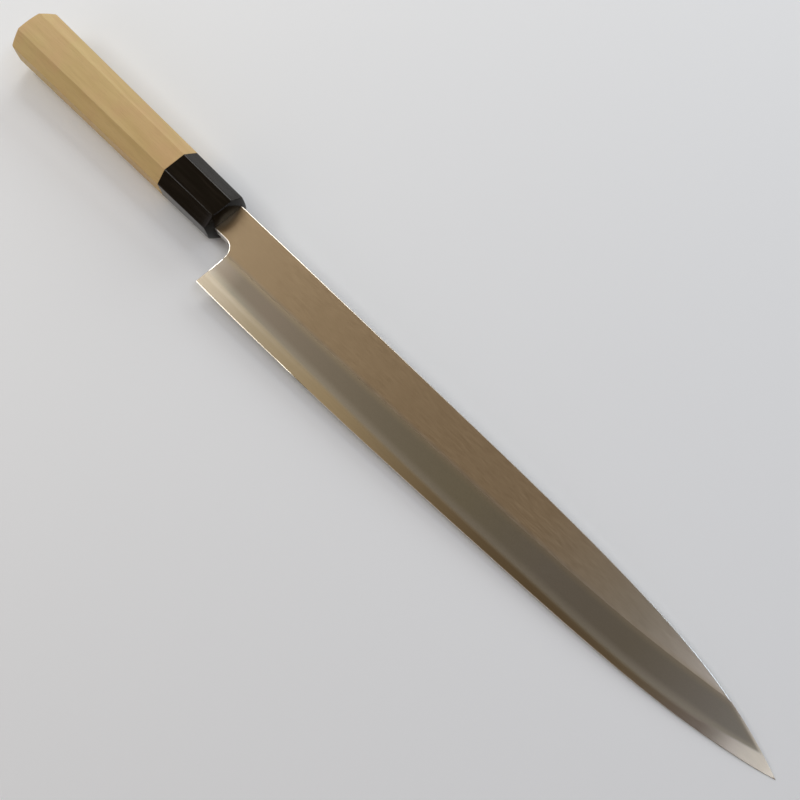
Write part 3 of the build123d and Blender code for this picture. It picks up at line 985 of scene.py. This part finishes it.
# Soft iron: the flat, the upper part of the bevel, the neck and the tang
def makeIron():
    bm = bmesh.new()
    weldPart = weldRun()
    spinePart = alongX(spineLine, chainX(weldEndX, heelX)[1:] + chainX(heelX, shoulderX)[1:])
    shoulder = [Vector((shoulderX, neck["rise"] - topBevel)), Vector((shoulderX, topBevel - neck["drop"]))]
    outline = weldPart + spinePart + shoulder + heelSidePart(shoulderX)[:-1]
    shoulderAt = len(weldPart) + len(spinePart) - 1
    neckAt = shoulderAt + 3
    tops = []
    lows = [weldTop(point.x) for point in outline]
    for i, point in enumerate(outline):
        if i < len(weldPart):
            tops.append(lows[i])
        elif shoulderAt < i < neckAt:
            tops.append(flatTop(point.x))
        else:
            tops.append(max(lows[i], min(flatTop(point.x) - topBevel, groundTop(point.x, point.y))))
    spineEase, spineBrow = easedLines(outline, tops, len(weldPart) - 1, shoulderAt)
    spineEase[-1] = shoulder[0]
    neckEase, neckBrow = easedLines(outline, tops, neckAt, len(outline) - 1)
    neckEase[0] = shoulder[1]
    heelStart = outline.index(neckEase[-1])
    heelEase = [outline[heelStart]]
    for i in range(heelStart + 1, len(outline)):
        tops[i] -= blade["heelEaseFall"] * min((outline[i].y - weldHeelY) / blade["heelEaseFade"], 1)
        heelEase.append(outline[i] + inward(outline, i) * blade["heelEase"])
    heelEase.append(outline[0])
    shinogi = alongX(shinogiLine, chainX(shinogiStartX, shinogiEndX))
    heelMargin, endMargin = net["ironMargins"]
    xs = chainX(heelX + heelMargin, weldEndX - endMargin)
    inner = between(xs, weldLine, shinogiLine, net["ironAcross"])
    inner = [p for p in inner if p.y < spineLine(p.x) - 2 * topBevel]
    lines = [spineEase, spineBrow[:-1], neckEase, neckBrow[1:], heelEase, shinogi]
    upper = addSurface(bm, outline, lines, inner, groundTop, tops, 1)
    scarf = acrossNeck(blade["weldStart"])
    lower = addSurface(bm, outline, [scarf], [], lambda x, y: weldTop(x), lows, -1)
    addWalls(bm, upper, lower, [i for i in range(len(outline)) if not shoulderAt <= i < neckAt])
    root = [bm.verts.new((shoulderX, y, z)) for y, z in tangCorners(0)]
    rim = [lower[i] for i in range(shoulderAt, neckAt + 1)]
    rim += [upper[i] for i in range(neckAt, shoulderAt - 1, -1)]
    edges = []
    for loop in (rim, root):
        for a, b in zip(loop, loop[1:] + loop[:1]):
            edges.append(bm.edges.get((a, b)) or bm.edges.new((a, b)))
    bmesh.ops.triangle_fill(bm, edges=edges, use_beauty=True, normal=(-1, 0, 0))
    end = addRing(bm, root, [Vector((shoulderX - tang["length"], y, z)) for y, z in tangCorners(1)])
    bm.faces.new(end)
    bmesh.ops.recalc_face_normals(bm, faces=bm.faces)
    slots = satin, hazed, polished = "softIronSatin", "softIronHazed", "softIronPolished"

    def finishAt(x, y, up):
        if abs(up) < levels["wall"]:
            return polished
        if 0 < up < levels["eased"] and (x < heelX or y > shinogiLine(x) or x < heelLineX(y) + topBevel):
            return polished
        return hazed if up > 0 and x > heelX and y < shinogiLine(x) else satin
    return bladeMesh(bm, "bladeIron", slots, finishAt)


# The back's hollow: the share of the width that it takes along x, then its two rims and its height
hollowShare = smoothLine(blade["hollow"], *blade["hollowSlopes"])


def hollowRims(x):
    low, high = edgeLine(x) + blade["hollowRim"], spineLine(x) - blade["hollowRim"]
    half = max((high - low) / 2 * min(max(hollowShare(x), 0.0), 1.0), 0.0)
    return (low + high) / 2 - half, (low + high) / 2 + half


def backLow(x, y):
    if not blade["hollow"][0][0] < x < blade["hollow"][-1][0]:
        return backLevel
    low, high = hollowRims(x)
    half, off = (high - low) / 2, y - (low + high) / 2
    if abs(off) >= half:
        return backLevel
    wheel = blade["hollowRadius"]
    return backLevel + math.sqrt(wheel ** 2 - off ** 2) - math.sqrt(wheel ** 2 - half ** 2)


# Width of the last bevel along the cutting edge
def breakWidth(x):
    (wide, narrow), (start, end) = blade["edgeBreak"], blade["edgeBreakRun"]
    return wide + (narrow - wide) * min(max((x - start) / (end - start), 0), 1)


# Hard steel: the lower part of the bevel, the whole back and the tip
def makeSteel():
    bm = bmesh.new()
    edgePart = alongX(edgeLine, chainX(heelX, tipX))
    edgePart[0], edgePart[-1] = heel, Vector((tipX, edgePoints[-1][1]))
    nearTip, nextTip = net["tipPoints"]
    spinePart = alongX(spineLine, [tipX - nearTip] + chainX(tipX - nextTip, weldEndX)
                       + chainX(weldEndX, heelX)[1:] + chainX(heelX, blade["weldStart"])[1:])
    ys = chainX(weldHeelY, heel.y + breakWidth(heelX), net["alongHeel"])[1:]
    low = [Vector((heelLineX(y), y)) for y in ys]
    outline = edgePart + spinePart + heelSidePart(blade["weldStart"]) + low
    scarfAt = len(edgePart) + len(spinePart) - 1
    tops = []
    for i, (x, y) in enumerate(outline):
        if i in (scarfAt, scarfAt + 1):
            tops.append(backLevel)
        elif i < len(edgePart):
            tops.append(backLevel + blade["edgeLand"])
        else:
            tops.append(min(weldTop(x), groundTop(x, y), flatTop(x) - topBevel))
    breakLine = [outline[-1]] + [edgePart[i] + inward(outline, i) * breakWidth(edgePart[i].x)
                                 for i in range(1, len(edgePart) - 1)]
    breakLine = [p for p in breakLine if p.x < tipX - blade["edgeBreakEnd"]] + [spinePart[0]]
    heelMargin, tipMargin = net["steelMargins"]
    inner = between(chainX(heelX + heelMargin, tipX - tipMargin), lambda x: edgeLine(x) + breakWidth(x),
                    lambda x: min(weldLine(x), spineLine(x)), net["steelAcross"])
    upper = addSurface(bm, outline, [breakLine, weldRun(), acrossNeck(heelX)], inner,
                       lambda x, y: min(weldTop(x), groundTop(x, y)), tops, 1)
    xs = chainX(blade["hollow"][0][0], blade["hollow"][-1][0], net["alongHollow"])
    rims = [[Vector((x, hollowRims(x)[k])) for x in xs] for k in (0, 1)]
    ground = between(xs[1:-1], lambda x: hollowRims(x)[0], lambda x: hollowRims(x)[1], net["hollowAcross"])
    lower = addSurface(bm, outline, rims, ground, backLow, [backLevel] * len(outline), -1)
    addWalls(bm, upper, lower, range(len(outline)))
    slots = whetted, polished, hollow, keen = ("hardSteelWhetted", "hardSteelPolished", "hardSteelHollow",
                                               "hardSteelKeen")

    def finishAt(x, y, up):
        if abs(up) < levels["wall"]:
            return polished
        if up < 0:
            inHollow = xs[0] < x < xs[-1] and hollowRims(x)[0] < y < hollowRims(x)[1]
            return hollow if inHollow else polished
        if up < levels["keen"] and x > heelX and y < edgeLine(x) + breakWidth(x):
            return keen
        return whetted if x > heelX and (x > weldEndX or y < weldLine(x)) else polished
    return bladeMesh(bm, "edgeSteel", slots, finishAt)


print("blade")
addPiece("bladeIron", makeIron(), "blade_iron")
addPiece("edgeSteel", makeSteel(), "edge_steel")

# Pale paper floor, tilted because the knife leans on the ferrule's lower front corner and on its tip
stage = {
    "colour": "#EEF1F3",
    "roughness": 0.9,
    "size": 3000.0,
    "middleX": 80.0,
    "slope": 0.02245,
    "touch": (-1.1, -8.84),      # place along x and height of that corner
    "clearance": 0.03,
}


def makeFloor():
    half = stage["size"] / 2
    corners = []
    for xSign, ySign in ((-1, -1), (1, -1), (1, 1), (-1, 1)):
        x = stage["middleX"] + xSign * half
        z = stage["touch"][1] + (x - stage["touch"][0]) * stage["slope"] - stage["clearance"]
        corners.append(onKnife(x, ySign * half, z))
    mesh = bpy.data.meshes.new("floor")
    mesh.from_pydata(corners, [], [(0, 1, 2, 3)])
    material, _ = startMaterial("paperFloor")
    finishMaterial(material, BaseColor=linear(stage["colour"]), Roughness=stage["roughness"])
    mesh.materials.append(material)
    addObject("floor", mesh)


# Soft boxes over the knife, facing down, and at its sides: place of the middle, size and brightness of
# the face, colour
lamps = {
    "keySoftbox": {"place": (-830, 837, 900), "size": (662, 574), "brightness": 5.0,
                   "colour": (1.0, 0.98, 0.95)},
    "heelSoftbox": {"place": (-1037, -317, 900), "size": (718, 766), "brightness": 5.0},
    "fillSoftbox": {"place": (-465, -332, 900), "size": (584, 512), "brightness": 0.5,
                    "colour": (1.0, 0.95, 0.82)},
    "tipSoftbox": {"place": (561, 184, 900), "size": (200, 604), "brightness": 5.6,
                   "colour": (0.74, 0.83, 1.0)},
    "tipSpineSoftbox": {"place": (370, 670, 900), "size": (240, 200), "brightness": 5.0,
                        "colour": (0.58, 0.76, 1.0)},
    "choilSoftbox": {"place": (-1360, 250, 900), "size": (200, 260), "brightness": 5.0},
    "edgeSoftbox": {"place": (-530, -670, 900), "size": (260, 140), "brightness": 4.0},
    "spineSideSoftbox": {"place": (-250, 1150, 475), "facing": (0, -1, 0), "size": (1300, 650),
                         "brightness": 2.95, "colour": (0.93, 0.97, 1.0)},
    "edgeSideSoftbox": {"place": (-150, -1000, 425), "facing": (0, 1, 0), "size": (900, 550),
                        "brightness": 0.9, "colour": (1.0, 0.95, 1.0)},
}
roomLight = {"colour": (1.0, 0.73, 0.48, 1.0), "strength": 0.153}   # warm light of the room around


def addLamp(name, place, size, brightness, facing=(0, 0, -1), colour=(1.0, 1.0, 1.0)):
    data = bpy.data.lights.new(name, "AREA")
    data.shape = "RECTANGLE"
    data.size, data.size_y = (side * mm for side in size)
    data.energy = brightness * math.pi * data.size * data.size_y
    data.color = colour
    lamp = addObject(name, data)
    lamp.location = onKnife(*place)
    lamp.rotation_euler = Vector(facing).to_track_quat("-Z", "Y").to_euler()


# Camera at the photograph's viewing angle: place, and the directions to its right and up
view = {
    "place": (268.06, -95.64, 413.35),
    "right": (0.67304, 0.73416, -0.08961),
    "up": (-0.65468, 0.64773, 0.38966),
    "lens": 51.75,
    "sensor": 36.0,
    "clip": (0.01, 20.0),        # m
}


def makeCamera():
    data = bpy.data.cameras.new("camera")
    data.lens = view["lens"]
    data.sensor_width = view["sensor"]
    data.clip_start, data.clip_end = view["clip"]
    camera = addObject("camera", data)
    right = Vector(view["right"]).normalized()
    backwards = right.cross(Vector(view["up"])).normalized()
    turn = Matrix((right, backwards.cross(right), backwards)).transposed().to_4x4()
    camera.matrix_world = Matrix.Translation(onKnife(*view["place"])) @ turn
    bpy.context.scene.camera = camera


print("floor, lights and camera")
bpy.context.scene.view_settings.view_transform = "Standard"
makeFloor()
for name, settings in lamps.items():
    addLamp(name, **settings)
world = bpy.data.worlds.new("studio")
bpy.context.scene.world = world
world.use_nodes = True
world.node_tree.nodes.clear()
background = addNode(world.node_tree, "Background", {}, roomLight["colour"], roomLight["strength"])
addNode(world.node_tree, "OutputWorld", {}, background)
makeCamera()
